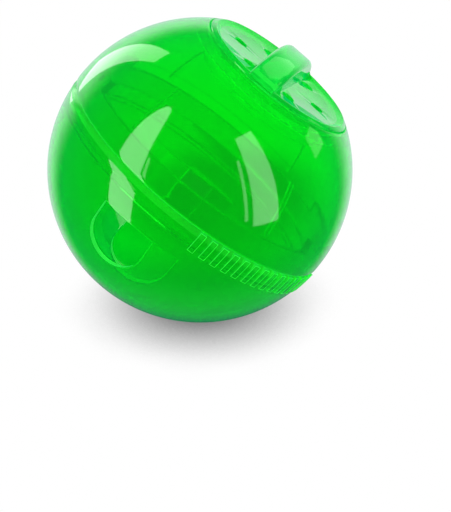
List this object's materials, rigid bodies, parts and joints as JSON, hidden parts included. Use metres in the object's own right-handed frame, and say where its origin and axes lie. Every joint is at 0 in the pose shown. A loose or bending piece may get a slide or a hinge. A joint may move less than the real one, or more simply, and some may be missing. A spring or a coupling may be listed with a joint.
{
  "type": "cat treat ball",
  "caption": "See-through round treat ball for cats: a turning lower half opens windows that drop dry food, with a lift-off vented fill cap and a grip bar.",
  "frame": {"origin": "centre of the ball", "axes": "+Z along the twist axis towards the fill cap, -Y to the front between the half-open front windows"},
  "size_m": [0.0804, 0.08, 0.0805],
  "materials": {
    "shell_plastic": "polished translucent green",
    "liner_plastic": "polished translucent green",
    "cap_plastic": "polished translucent green"
  },
  "bodies": {
    "upper_half": {"upper_shell": "shell_plastic", "inner_liner": "liner_plastic"},
    "lower_half": {"lower_shell": "shell_plastic"},
    "cap": {"fill_cap": "cap_plastic"}
  },
  "joints": [
    {"name": "portion_twist", "type": "hinge", "parent": "upper_half", "child": "lower_half", "pos_m": [0, 0, 0], "axis": [0, 0, 1], "range_deg": [-16, 12]},
    {"name": "cap_lift", "type": "slide", "parent": "upper_half", "child": "cap", "axis": [0, 0, 1], "range_m": [0, 0.05]}
  ]
}
